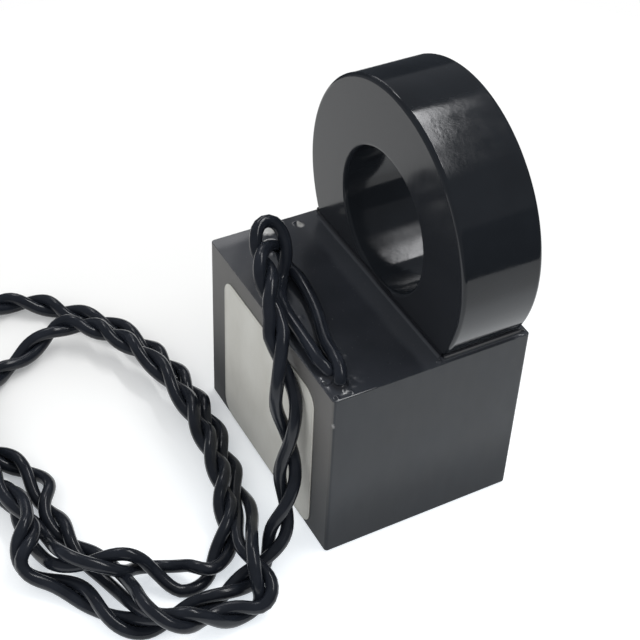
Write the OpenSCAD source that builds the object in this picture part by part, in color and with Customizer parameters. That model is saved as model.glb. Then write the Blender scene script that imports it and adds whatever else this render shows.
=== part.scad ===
// Current sensing switch: an open potting box, filled flush with resin, that holds a
// small circuit board and the lower part of an upright ring current transformer.
// The sensed conductor passes through the ring, and a twisted pair of wires is the output.
// Frame: origin at the middle of the box's base, +Z up, +X along the ring's bore.

/* [Box] */
// Outside length of the box, along the ring's bore
box_l = 29.5; // [26:0.5:40]
// Outside height of the box
box_h = 28.7; // [25:0.1:40]
// Thickness of the box's side walls
wall = 1.1; // [0.8:0.1:1.8]
// Thickness of the box's floor
floor_t = 1.5; // [1:0.1:2]
// Radius of the box's upright edges
edge_r = 0.5; // [0.2:0.1:1]
// Height of the ribs that carry the circuit board
rib_h = 2.5; // [2:0.1:3.5]
// Width of a rib along the wall
rib_w = 1.4; // [1:0.1:1.6]
// Depth of a rib from the wall
rib_depth = 1.5; // [1:0.1:2]
// Gap between a rib and the solder joints of the output wires
rib_gap = 0.4; // [0.2:0.1:2]

/* [Ring] */
// Outside diameter of the ring
ring_od = 39.5; // [36:0.5:46]
// Diameter of the bore that the sensed conductor passes through
bore_d = 20; // [14:0.5:21]
// Width of the ring along its bore
ring_w = 11.8; // [10:0.1:14]
// Depth that the ring sinks below the rim of the box
ring_sink = 9.25; // [8:0.05:9.6]
// Gap between the ring and the side walls at the rim
ring_side_gap = 0.17; // [0.1:0.01:1]
// Gap between the ring's rear face and the end wall
ring_end_gap = 0.1; // [0.05:0.05:0.6]
// Radius of the ring's edges
ring_edge_r = 0.6; // [0.2:0.1:1]
// Wall thickness of the ring's case
case_wall = 1.4; // [1.1:0.1:1.8]
// Thickness of the ring's rear cover
cover_t = 1.2; // [0.8:0.1:1.6]
// Width of the ledge that the rear cover seats on
cover_ledge = 0.6; // [0.3:0.1:0.8]
// Clearance round the rear cover
cover_gap = 0.05; // [0.02:0.01:0.15]

/* [Core and winding] */
// Clearance between the wound core and the ring's case
pack_gap = 0.2; // [0.1:0.05:0.4]
// Thickness of the tape over the winding
tape_t = 0.2; // [0.1:0.05:0.4]
// Thickness of the winding on each side of the core
winding_t = 1; // [0.6:0.1:1.4]
// Sector of the core that the winding leaves bare, in degrees
bare_sector = 20; // [16:1:40]
// Diameter of the winding's leads
lead_d = 0.6; // [0.4:0.1:0.8]
// Clearance round a lead in the wall of the case
lead_gap = 0.1; // [0.05:0.05:0.2]
// Distance between the two winding leads
lead_spread = 7.4; // [7:0.2:9]
// Distance of the winding leads from the inside of the end wall
lead_inset = 4.6; // [4:0.1:5.5]

/* [Resin] */
// Depth of the resin's level below the rim
fill_gap = 0.1; // [0.05:0.05:0.5]
// Height that the resin creeps up the ring's face
meniscus = 1; // [0.4:0.1:1.6]

/* [Label] */
// Bare margin on each side of the label
label_side_gap = 4.7; // [3:0.1:8]
// Bare margin above the label
label_top_gap = 3; // [1:0.1:6]
// Bare margin below the label
label_bottom_gap = 0.5; // [0.3:0.1:4]
// Radius of the label's corners
label_r = 2.5; // [1:0.1:4]
// Thickness of the label
label_t = 0.15; // [0.1:0.05:0.3]

/* [Circuit board] */
// Thickness of the circuit board
board_t = 1.6; // [1:0.1:2]
// Clearance round the board's edges
board_gap = 0.2; // [0.1:0.05:0.4]
// Diameter of the legs and of their holes in the board
leg_d = 0.7; // [0.5:0.05:0.9]
// Length of the legs below the board
leg_out = 1.3; // [1:0.1:1.6]
// Diameter of a solder joint at the board
solder_d = 1.8; // [1.4:0.1:2]
// Thickness of the solder at a leg's tip
solder_tip = 0.15; // [0.1:0.05:0.25]
// Height of a part's body above the board
standoff = 0.5; // [0.2:0.1:1]
// Radius of a bent leg
bend_r = 0.8; // [0.6:0.1:1]
// Clearance between neighbouring parts on the board
part_gap = 0.9; // [0.5:0.1:1.5]

/* [Reservoir capacitor] */
// Diameter of the can
cap_d = 10; // [8:0.5:10.5]
// Height of the can
cap_h = 15; // [11:0.5:16]
// Distance between the can's legs
cap_pitch = 5; // [3.5:0.1:5.5]
// Gap between the can and the box's walls
cap_gap = 0.7; // [0.4:0.1:1.2]

/* [Bridge rectifier] */
// Length of the rectifier's body
bridge_l = 8.2; // [7:0.1:8.6]
// Width of the rectifier's body
bridge_w = 6.4; // [5.5:0.1:7]
// Height of the rectifier's body
bridge_h = 3.3; // [2.5:0.1:4]
// Distance of the rectifier's legs from its edges
bridge_margin = 1.1; // [0.9:0.1:1.5]

/* [Switching transistor] */
// Width of the transistor's body and tab
transistor_w = 10; // [8:0.1:10.4]
// Thickness of the body in front of the tab
transistor_t = 3.2; // [2.6:0.1:3.5]
// Height of the moulded body
transistor_h = 9; // [8:0.1:9.5]
// Height of the metal tab above the moulded body
tab_h = 6; // [5:0.1:6.5]
// Thickness of the metal tab
tab_t = 1.3; // [1:0.1:1.5]
// Diameter of the hole in the tab
tab_hole_d = 3.6; // [3:0.1:4]
// Distance between the transistor's legs
transistor_pitch = 2.54; // [2.2:0.02:2.8]
// Length of the legs above the board
transistor_legs = 2.5; // [1.5:0.1:3]
// Gap between the tab and the box's left wall
tab_gap = 0.6; // [0.3:0.1:1]

/* [Axial parts] */
// Diameter of the gate resistor
gate_d = 2.4; // [1.8:0.1:3]
// Length of the gate resistor
gate_l = 6.2; // [5:0.1:6.4]
// Diameter of the clamp diode
diode_d = 2.6; // [2:0.1:3.4]
// Length of the clamp diode
diode_l = 5.2; // [4:0.1:5.5]
// Diameter of the burden resistor
burden_d = 3.4; // [2.4:0.1:5]
// Length of the burden resistor
burden_l = 9; // [8:0.1:9.5]
// Share of an axial body's diameter that is left between its collars
axial_waist = 0.88; // [0.7:0.02:0.96]
// Straight length of an axial leg outside the body
axial_stub = 0.5; // [0.3:0.1:0.8]

/* [Surge absorber and timing capacitor] */
// Diameter of the surge absorber's disc
disc_d = 8.6; // [7:0.1:9]
// Thickness of the surge absorber's disc
disc_t = 3.8; // [2.5:0.1:5]
// Distance between the surge absorber's legs
disc_pitch = 5; // [4:0.1:5.5]
// Length of the timing capacitor
film_l = 7.2; // [6:0.1:7.6]
// Width of the timing capacitor
film_w = 3.4; // [2.5:0.1:5]
// Height of the timing capacitor
film_h = 7; // [5:0.1:8]
// Distance between the timing capacitor's legs
film_pitch = 5; // [4:0.1:5.2]
// Gap between these two parts and the box's side walls
edge_gap = 0.7; // [0.4:0.1:1]

/* [Output lead] */
// Diameter of one insulated wire
wire_d = 1.7; // [1.2:0.1:1.8]
// Diameter of the wire's bare conductor
conductor_d = 0.7; // [0.5:0.05:0.9]
// Gap between a wire and the inside of the left wall
tail_gap = 0.3; // [0.1:0.05:0.5]
// Distance of the pair's middle from the inside of the front wall
tail_inset = 2.4; // [2.1:0.1:2.6]
// Distance between the two wires where they leave the resin
tail_spread = 1.9; // [1.8:0.1:2.4]
// Length of the stripped and tinned ends
strip_l = 6; // [3:0.5:10]

/* [Hidden] */
$fn = 64;

// Ring, and the box that is as wide as the ring at its rim
ring_r = ring_od / 2;
bore_r = bore_d / 2;
half_chord = sqrt(pow(ring_r, 2) - pow(ring_r - ring_sink, 2));
box_w = 2 * (half_chord + ring_side_gap + wall);
in_l = box_l - 2 * wall;
in_w = box_w - 2 * wall;
ring_z = box_h - ring_sink + ring_r;
ring_back = in_l / 2 - ring_end_gap;
ring_front = ring_back - ring_w;
fill_z = box_h - fill_gap;

// Hollow of the ring's case, and the layers of the wound core inside it
case_ri = bore_r + case_wall;
case_ro = ring_r - case_wall;
case_floor = case_wall;
cover_z = ring_w - cover_t;
layers = [pack_gap, pack_gap + tape_t, pack_gap + tape_t + winding_t];

// Circuit board, and the walls that its parts are set from
board_z = floor_t + rib_h;
board_top = board_z + board_t;
body_z = board_top + standoff;
leg_bottom = board_z - leg_out;
left = -in_l / 2;
right = in_l / 2;
front = -in_w / 2;
rear = in_w / 2;

cap_at = [left + cap_gap + cap_d / 2, rear - cap_gap - cap_d / 2];
tail_x = left + tail_gap + wire_d / 2;
tail_y = front + tail_inset;
rib_x = -tail_x - solder_d / 2 - rib_gap - rib_w / 2;
bridge_at = [
    tail_x + wire_d / 2 + part_gap + bridge_w / 2,
    front + rib_depth + part_gap + bridge_l / 2,
];
transistor_x = left + tab_gap + tab_t + transistor_t / 2;
gate_x = transistor_x + transistor_t / 2 + part_gap + gate_d / 2;
diode_x = gate_x + gate_d / 2 + part_gap + diode_d / 2;
lead_x = right - lead_inset;
burden_x = lead_x - lead_d / 2 - part_gap - burden_d / 2;
disc_at = [burden_x, rear - edge_gap - disc_d / 2];
film_at = [burden_x, front + edge_gap + film_l / 2];
bridge_leg = [bridge_w / 2 - bridge_margin, bridge_l / 2 - bridge_margin];

// Places where legs and wires pass through the board
cap_legs = [for (s = [-1, 1]) cap_at + [0, s * cap_pitch / 2]];
bridge_legs = [for (s = [-1, 1], t = [-1, 1]) bridge_at + [s * bridge_leg.x, t * bridge_leg.y]];
transistor_legs_at = [for (i = [-1:1]) [transistor_x, i * transistor_pitch]];
disc_legs = [for (s = [-1, 1]) disc_at + [0, s * disc_pitch / 2]];
film_legs = [for (s = [-1, 1]) film_at + [0, s * film_pitch / 2]];
gate_legs = axial_legs(gate_x, gate_l);
diode_legs = axial_legs(diode_x, diode_l);
burden_legs = axial_legs(burden_x, burden_l);
lead_legs = [for (s = [-1, 1]) [lead_x, s * lead_spread / 2]];
tail_legs = [for (s = [-1, 1]) [tail_x, tail_y + s * tail_spread / 2]];
part_legs = concat(cap_legs, bridge_legs, transistor_legs_at, disc_legs, film_legs,
    gate_legs, diode_legs, burden_legs);

// Route of the twisted pair: up from the resin, back in a loop over the box's edge,
// down past the label, and then round the loose coil on the table
route = [
    [-12.5, -14.5, 28.7], [-12.5, -14.5, 30.3], [-12.2, -12.5, 31.6], [-11.6, -8, 31],
    [-10.7, -1.5, 30.5], [-9.8, 3.6, 30.7], [-8.8, 6.8, 32.2], [-8.9, 9, 34.2],
    [-10.6, 8.9, 35.8], [-13, 6.6, 35.4], [-14.4, 3.4, 33.9], [-15.1, 0.2, 32.5],
    [-15.6, -2.8, 31], [-16.5, -6.2, 29], [-17, -9, 25], [-17.2, -10.6, 19.5],
    [-17.3, -11.2, 14.5], [-19, -14, 7.8], [-21.4, -16, 4.2], [-24.3, -17.8, 2],
    [-27.6, -18.8, 1.8], [-31.6, -19.7, 1.7], [-35.5, -19.9, 1.7], [-38.9, -19.9, 1.7],
    [-42, -19.6, 1.7], [-44.4, -17.7, 1.7], [-45.8, -15.1, 1.7], [-46.9, -12.2, 1.7],
    [-48.1, -9.4, 1.7], [-50.2, -7.1, 1.8], [-52.3, -5.5, 2.4], [-52.9, -3.9, 3.9],
    [-51.3, -2.7, 5.6], [-49.2, -0.1, 5.6], [-48.7, 4, 5.4], [-49.5, 9.6, 5.3],
    [-50.8, 14.9, 5.3], [-51.1, 19.3, 5.3], [-49.9, 24.4, 4.7], [-48.5, 28.4, 2.6],
    [-46.2, 31.8, 1.8], [-42.6, 34, 1.8], [-40, 35, 1.7], [-36, 37, 2.8],
    [-32, 37.4, 4.1], [-28.6, 35.2, 4.1], [-26, 31, 4.1], [-23.8, 25.5, 4.1],
    [-22.2, 17.5, 4.1], [-22.4, 9, 4.1], [-23.6, 0.5, 4.1], [-25.4, -5.5, 3.9],
    [-27, -10.7, 2.8], [-28.9, -14, 2], [-31.4, -16, 1.8], [-34.2, -15, 1.8],
    [-36.3, -12.6, 1.8], [-38.4, -11.5, 2.8], [-40.8, -11.5, 5], [-43.2, -10.6, 5.5],
    [-46, -9.4, 5.5], [-48.4, -7, 5], [-49.1, -1.6, 2.2], [-49.7, 3.8, 1.8],
    [-50.3, 9.9, 1.7], [-53.8, 15, 1.7], [-56.8, 20, 1.7], [-59, 26.5, 1.7],
    [-59.2, 33.5, 1.7], [-56.4, 39.8, 1.7], [-50.4, 44.8, 1.7], [-42, 47.5, 1.7],
    [-36.5, 48, 1.7], [-32, 45, 1.7], [-29.4, 41.4, 1.7], [-26.2, 38.2, 1.7],
    [-23.2, 33.6, 1.7], [-21, 28.2, 1.7], [-19.4, 20.5, 1.7], [-19.4, 11.5, 1.7],
    [-20.6, 3, 1.7], [-21.6, -3.6, 1.8], [-23, -9.4, 3.2], [-25.2, -14.8, 5.4],
    [-25.8, -19.5, 5.8], [-26, -22.9, 4.3], [-27.3, -24.1, 2.4], [-30.1, -23.4, 2],
    [-33.8, -23.3, 3], [-37.4, -23.6, 5], [-39.9, -22.5, 5.5], [-41.5, -19.8, 5.4],
    [-42, -15.9, 3.8], [-42.4, -11.6, 2.1], [-43.3, -8.1, 1.7], [-44.5, -5, 1.7],
    [-45.5, -1.6, 1.7], [-46, 2.3, 1.7], [-46.2, 5.4, 1.7], [-45.6, 8.2, 1.7],
    [-45.6, 11.3, 1.7], [-47, 14.4, 1.7], [-49.1, 17.4, 1.7], [-51.4, 20.6, 1.7],
    [-53.2, 23.4, 1.7], [-54.2, 26.8, 1.7],
];
route_last = len(route) - 1;
pair_r = wire_d;
pair_sides = 8;

function unit(v) = v / norm(v);
function axial_reach(body_l) = body_l / 2 + axial_stub + bend_r;
function axial_legs(x, body_l) = [for (s = [-1, 1]) [x, s * axial_reach(body_l)]];

// Direction of the route at point i
function heading(i) =
    i == 0 ? unit(route[1] - route[0])
    : i == route_last ? unit(route[i] - route[i - 1])
    : unit(unit(route[i] - route[i - 1]) + unit(route[i + 1] - route[i]));

// A sideways direction at each point, carried along the route without twist
sideways = [
    for (i = 0, n = [1, 0, 0]; i <= route_last;
        i = i + 1, n = i <= route_last ? unit(n - (n * heading(i)) * heading(i)) : n)
    n
];

// Rectangle with round corners, centred, made of arcs and straight lines
module rounded_rect(size_x, size_y, r) {
    square([size_x - 2 * r, size_y], center = true);
    square([size_x, size_y - 2 * r], center = true);
    for (sx = [-1, 1], sy = [-1, 1])
        translate([sx * (size_x / 2 - r), sy * (size_y / 2 - r)])
            circle(r);
}

// Section of a ring between two radii and two heights, with round edges
module ring_section(ri, ro, z0, z1, r) {
    translate([(ri + ro) / 2, (z0 + z1) / 2])
        rounded_rect(ro - ri, z1 - z0, r);
}

// Turns a section round the ring's axis, from the ring's front face towards its rear
module about_bore(angle = 360) {
    translate([ring_front, 0, ring_z])
        rotate([0, 90, 0])
            rotate([0, 0, (360 - angle) / 2])
                rotate_extrude(angle = angle)
                    children();
}

// Section of the wound core with its layers stripped down to the given depth
module pack_section(depth) {
    translate([case_ri + depth, case_floor + depth])
        square([case_ro - case_ri - 2 * depth, cover_z - case_floor - 2 * depth]);
}

// Upright leg from a given height down through the board
module leg(at, top, d = leg_d) {
    translate([at.x, at.y, leg_bottom])
        cylinder(h = top - leg_bottom, d = d);
}

// Part with a round body along Y and a bent leg at each end
module axial_part(x, body_d, body_l) {
    axis_z = board_top + max(standoff + body_d / 2, bend_r);
    collar_l = body_l / 6;
    translate([x, 0, axis_z]) {
        rotate([90, 0, 0])
            cylinder(h = body_l, d = body_d * axial_waist, center = true);
        for (s = [-1, 1]) {
            translate([0, s * (body_l - collar_l) / 2, 0])
                rotate([90, 0, 0])
                    cylinder(h = collar_l, d = body_d, center = true);
            translate([0, s * (body_l + axial_stub) / 2, 0])
                rotate([90, 0, 0])
                    cylinder(h = axial_stub, d = leg_d, center = true);
            translate([0, s * (body_l / 2 + axial_stub), -bend_r])
                rotate([90, 0, s * 90])
                    rotate_extrude(angle = 90)
                        translate([bend_r, 0])
                            circle(d = leg_d, $fn = 32);
        }
    }
    for (at = axial_legs(x, body_l))
        leg(at, axis_z - bend_r);
}

// Outside of the whole ring as one solid disc
module ring_envelope() {
    about_bore()
        intersection() {
            ring_section(-ring_r, ring_r, 0, ring_w, ring_edge_r);
            square([ring_r, ring_w]);
        }
}

module box_shell() {
    color("#232427") {
        difference() {
            linear_extrude(box_h)
                rounded_rect(box_l, box_w, edge_r);
            translate([0, 0, floor_t])
                linear_extrude(box_h)
                    square([in_l, in_w], center = true);
        }
        board_ribs();
    }
}

// Ribs on the side walls that the circuit board rests on
module board_ribs() {
    for (sx = [-1, 1], sy = [-1, 1])
        translate([sx * rib_x, sy * (in_w - rib_depth) / 2, floor_t + rib_h / 2])
            cube([rib_w, rib_depth, rib_h], center = true);
}

module potting_resin() {
    color("#15161a")
        difference() {
            union() {
                translate([0, 0, floor_t])
                    linear_extrude(fill_z - floor_t)
                        square([in_l, in_w], center = true);
                resin_creep();
            }
            board_ribs();
            ring_envelope();
            cast_in_parts();
        }
}

// Hollow fillet of resin that creeps up the ring's front face
module resin_creep() {
    translate([ring_front, half_chord, fill_z])
        rotate([90, 0, 0])
            linear_extrude(2 * half_chord)
                difference() {
                    translate([-meniscus, 0])
                        square(meniscus);
                    translate([-meniscus, meniscus])
                        circle(meniscus);
                }
}

// Everything below the ring that the resin is cast round
module cast_in_parts() {
    circuit_board_solid();
    solder_joints();
    bridge_rectifier();
    reservoir_capacitor();
    switching_transistor();
    surge_absorber();
    timing_capacitor();
    clamp_diode();
    gate_resistor();
    burden_resistor();
    winding_lead_start();
    winding_lead_finish();
    wire_tail_first();
    wire_tail_second();
}

module ring_case() {
    color("#1d1e21")
        difference() {
            about_bore()
                difference() {
                    ring_section(bore_r, ring_r, 0, ring_w, ring_edge_r);
                    pack_section(0);
                    translate([case_ri - cover_ledge, cover_z])
                        square([case_ro - case_ri + 2 * cover_ledge, cover_t]);
                }
            for (at = lead_legs)
                leg(at, ring_z - case_ri, lead_d + 2 * lead_gap);
        }
}

module ring_cover() {
    color("#1b1c1f")
        about_bore()
            translate([case_ri - cover_ledge + cover_gap, cover_z])
                square([case_ro - case_ri + 2 * (cover_ledge - cover_gap), cover_t]);
}

module toroid_core() {
    color("#8d9196")
        about_bore()
            pack_section(layers[2]);
}

module secondary_winding() {
    color("#b4652f")
        about_bore(360 - bare_sector)
            difference() {
                pack_section(layers[1]);
                pack_section(layers[2]);
            }
}

module winding_tape() {
    color("#d8b23c")
        difference() {
            about_bore()
                difference() {
                    pack_section(layers[0]);
                    pack_section(layers[1]);
                }
            for (at = lead_legs)
                leg(at, ring_z - case_ri, lead_d);
        }
}

// Lead from the outside of the winding straight down through the board
module winding_lead(at) {
    color("#b4652f")
        difference() {
            leg(at, ring_z - case_ri, lead_d);
            about_bore()
                square([case_ro - layers[1], ring_w]);
        }
}

module winding_lead_start() {
    winding_lead(lead_legs[0]);
}

module winding_lead_finish() {
    winding_lead(lead_legs[1]);
}

// Board as a plain sheet with no holes
module circuit_board_solid() {
    color("#2f6b3a")
        translate([0, 0, board_z + board_t / 2])
            cube([in_l - 2 * board_gap, in_w - 2 * board_gap, board_t], center = true);
}

module circuit_board() {
    color("#2f6b3a")
        difference() {
            circuit_board_solid();
            for (at = part_legs)
                leg(at, board_top);
            for (at = lead_legs)
                leg(at, board_top, lead_d);
            for (at = tail_legs)
                leg(at, board_top, conductor_d);
        }
}

// Cone of solder below the board, round a leg of the given diameter
module solder_joint(at, d) {
    translate([at.x, at.y, leg_bottom])
        difference() {
            cylinder(h = leg_out, d1 = d + 2 * solder_tip, d2 = solder_d);
            cylinder(h = leg_out, d = d);
        }
}

module solder_joints() {
    color("#c4c8cc") {
        for (at = part_legs)
            solder_joint(at, leg_d);
        for (at = lead_legs)
            solder_joint(at, lead_d);
        for (at = tail_legs)
            solder_joint(at, conductor_d);
    }
}

module bridge_rectifier() {
    waist = bridge_h * 0.45;
    draft = bridge_w * 0.05;
    color("#1c1c1e") {
        translate([bridge_at.x, bridge_at.y + bridge_l / 2, body_z])
            rotate([90, 0, 0])
                linear_extrude(bridge_l)
                    polygon([
                        [-bridge_w / 2 + draft, 0], [bridge_w / 2 - draft, 0],
                        [bridge_w / 2, waist], [bridge_w / 2 - draft, bridge_h],
                        [-bridge_w / 2 + draft, bridge_h], [-bridge_w / 2, waist],
                    ]);
        for (at = bridge_legs)
            leg(at, body_z + waist);
    }
}

module reservoir_capacitor() {
    crimp_z = cap_h / 8;
    crimp_r = cap_d / 20;
    color("#23304a") {
        translate([cap_at.x, cap_at.y, body_z])
            rotate_extrude()
                intersection() {
                    square([cap_d / 2, cap_h]);
                    difference() {
                        ring_section(-cap_d / 2, cap_d / 2, 0, cap_h, crimp_r);
                        translate([cap_d / 2 + crimp_r / 2, crimp_z])
                            circle(crimp_r, $fn = 32);
                    }
                }
        for (at = cap_legs)
            leg(at, body_z + crimp_r);
    }
}

module switching_transistor() {
    body_bottom = board_top + transistor_legs;
    tab_x = transistor_x - transistor_t / 2 - tab_t;
    color("#2a2a2d") {
        translate([transistor_x - transistor_t / 2, -transistor_w / 2, body_bottom])
            cube([transistor_t, transistor_w, transistor_h]);
        difference() {
            translate([tab_x, -transistor_w / 2, body_bottom])
                cube([tab_t, transistor_w, transistor_h + tab_h]);
            translate([tab_x - tab_t, 0, body_bottom + transistor_h + tab_h / 2])
                rotate([0, 90, 0])
                    cylinder(h = 3 * tab_t, d = tab_hole_d);
        }
        for (at = transistor_legs_at)
            leg(at, body_bottom + standoff);
    }
}

module surge_absorber() {
    disc_z = body_z + disc_d / 2;
    color("#2c5b9a") {
        translate([disc_at.x - disc_t / 2, disc_at.y, disc_z])
            rotate([0, 90, 0])
                rotate_extrude()
                    intersection() {
                        square([disc_d / 2, disc_t]);
                        ring_section(-disc_d / 2, disc_d / 2, 0, disc_t, disc_t / 4);
                    }
        for (at = disc_legs)
            leg(at, disc_z);
    }
}

module timing_capacitor() {
    color("#b88a2e") {
        translate([film_at.x, film_at.y, body_z])
            linear_extrude(film_h)
                rounded_rect(film_w, film_l, film_w / 6);
        for (at = film_legs)
            leg(at, body_z + standoff);
    }
}

module clamp_diode() {
    color("#303236")
        axial_part(diode_x, diode_d, diode_l);
}

module gate_resistor() {
    color("#c7b58c")
        axial_part(gate_x, gate_d, gate_l);
}

module burden_resistor() {
    color("#7fb0c4")
        axial_part(burden_x, burden_d, burden_l);
}

// Insulated wire from the board up to the rim, with its conductor through the board
module wire_tail(at) {
    color("#1b1d22") {
        translate([at.x, at.y, body_z])
            cylinder(h = box_h - body_z, d = wire_d);
        leg(at, body_z, conductor_d);
    }
}

module wire_tail_first() {
    wire_tail(tail_legs[0]);
}

module wire_tail_second() {
    wire_tail(tail_legs[1]);
}

// Twisted pair as one tube of its outer diameter, swept along the route
module lead_pair() {
    rings = [
        for (i = [0:route_last], k = [0:pair_sides - 1])
        let (a = (k + 0.5) * 360 / pair_sides, across = cross(heading(i), sideways[i]))
        route[i] + pair_r * (cos(a) * sideways[i] + sin(a) * across)
    ];
    walls = [
        for (i = [0:route_last - 1], k = [0:pair_sides - 1], half = [0, 1])
        let (
            here = i * pair_sides,
            next = here + pair_sides,
            k2 = (k + 1) % pair_sides
        )
        half == 0 ? [here + k, next + k, next + k2] : [here + k, next + k2, here + k2]
    ];
    first_cap = [for (k = [0:pair_sides - 1]) k];
    last_cap = [for (k = [pair_sides - 1:-1:0]) route_last * pair_sides + k];
    color("#1b1d22")
        polyhedron(rings, concat(walls, [first_cap, last_cap]));
}

// Bare tinned ends of the two wires, side by side on the table
module stripped_ends() {
    end = route[route_last];
    along = heading(route_last);
    color("#b9bcc0")
        for (s = [-1, 1])
            translate([end.x, end.y, wire_d / 2])
                rotate([0, 0, atan2(along.y, along.x)])
                    translate([0, s * wire_d / 2, 0])
                        rotate([0, 90, 0])
                            cylinder(h = strip_l, d = conductor_d, $fn = 32);
}

module label() {
    label_w = box_w - 2 * label_side_gap;
    label_h = box_h - label_top_gap - label_bottom_gap;
    color("#b4b5ae")
        translate([-box_l / 2, 0, label_bottom_gap + label_h / 2])
            rotate([90, 0, -90])
                linear_extrude(label_t)
                    rounded_rect(label_w, label_h, label_r);
}

box_shell();
potting_resin();
ring_case();
ring_cover();
toroid_core();
secondary_winding();
winding_tape();
winding_lead_start();
winding_lead_finish();
circuit_board();
solder_joints();
bridge_rectifier();
reservoir_capacitor();
switching_transistor();
surge_absorber();
timing_capacitor();
clamp_diode();
gate_resistor();
burden_resistor();
wire_tail_first();
wire_tail_second();
lead_pair();
stripped_ends();
label();
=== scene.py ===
# %% [markdown]
# # A current sensing switch
# A small black box, filled flush with casting resin, holds a ring through which the sensed
# conductor passes. A twisted pair of wires leaves the resin and lies in a loose coil.
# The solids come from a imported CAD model. This lesson dresses them for a studio picture:
# first the camera and the lead, then the box, the cast resin, the ring, the label and the
# parts inside, and last the light.

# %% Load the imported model
import math

import bpy
import numpy as np
from mathutils import Matrix, Vector


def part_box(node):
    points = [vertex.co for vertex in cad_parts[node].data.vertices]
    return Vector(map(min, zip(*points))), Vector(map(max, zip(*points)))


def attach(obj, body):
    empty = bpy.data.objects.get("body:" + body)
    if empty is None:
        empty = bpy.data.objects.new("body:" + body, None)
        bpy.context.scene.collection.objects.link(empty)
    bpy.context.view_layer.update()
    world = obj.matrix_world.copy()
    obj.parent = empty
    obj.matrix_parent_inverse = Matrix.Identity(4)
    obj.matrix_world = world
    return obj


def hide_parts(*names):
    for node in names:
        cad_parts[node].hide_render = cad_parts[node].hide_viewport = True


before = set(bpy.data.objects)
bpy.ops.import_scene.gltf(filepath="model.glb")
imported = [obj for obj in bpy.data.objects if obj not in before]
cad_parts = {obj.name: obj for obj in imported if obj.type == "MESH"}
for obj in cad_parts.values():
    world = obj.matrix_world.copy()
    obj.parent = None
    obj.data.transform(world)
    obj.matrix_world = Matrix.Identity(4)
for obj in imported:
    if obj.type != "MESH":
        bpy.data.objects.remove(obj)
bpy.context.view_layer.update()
MM = 0.001

# %% [markdown]
# ## Camera
# The picture was taken from above the box's near corner with a slightly tilted camera.
# A camera can be aimed with a constraint, but a tilt is then awkward to add. Here the three
# axes of the camera are worked out from its line of sight and its roll, and set at once.

# %% Camera
LENS = 82.455
CAMERA_AT = Vector((-81.51, -128.97, 156.77)) * MM
SIGHT = Vector((0.37541, 0.64874, -0.66197)).normalized()
ROLL = math.radians(-2.73)

level = SIGHT.cross(Vector((0, 0, 1))).normalized()
right = level * math.cos(ROLL) + SIGHT.cross(level) * math.sin(ROLL)
camera = bpy.data.objects.new("camera", bpy.data.cameras.new("camera"))
camera.data.lens = LENS
camera.data.clip_start = 10 * MM
turn = Matrix((right, right.cross(SIGHT), -SIGHT)).transposed()
camera.matrix_world = Matrix.Translation(CAMERA_AT) @ turn.to_4x4()
bpy.context.scene.collection.objects.link(camera)
bpy.context.scene.camera = camera
print("camera", [round(x / MM) for x in CAMERA_AT], "mm, lens", LENS)

# %% [markdown]
# ## Finishes written as sums
# A finish is a material whose nodes are wired by a script. Wiring by hand hides the idea, so
# a small class wraps a socket and lets Python's own signs add the Math nodes. Every other
# node comes from one method: its settings are set first, then its sockets are filled.

# %% Field
class Field:
    """A value that changes over a surface."""

    def __init__(self, finish, socket):
        self.finish = finish
        self.socket = socket

    def _math(self, operation, first, second):
        settings = {"operation": operation}
        return self.finish.node("ShaderNodeMath", settings, {0: first, 1: second})

    def __add__(self, other):
        return self._math("ADD", self, other)

    def __radd__(self, other):
        return self._math("ADD", other, self)

    def __sub__(self, other):
        return self._math("SUBTRACT", self, other)

    def __rsub__(self, other):
        return self._math("SUBTRACT", other, self)

    def __mul__(self, other):
        return self._math("MULTIPLY", self, other)

    def __rmul__(self, other):
        return self._math("MULTIPLY", other, self)

    def __truediv__(self, other):
        return self._math("DIVIDE", self, other)

    def __pow__(self, other):
        return self._math("POWER", self, other)


print("a Field turns + - * / and ** into Math nodes")

# %% Finish
# Sockets of a Mix node that mixes colours
MIX_SHARE, MIX_FIRST, MIX_SECOND, MIX_RESULT = 0, 6, 7, 2


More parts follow.
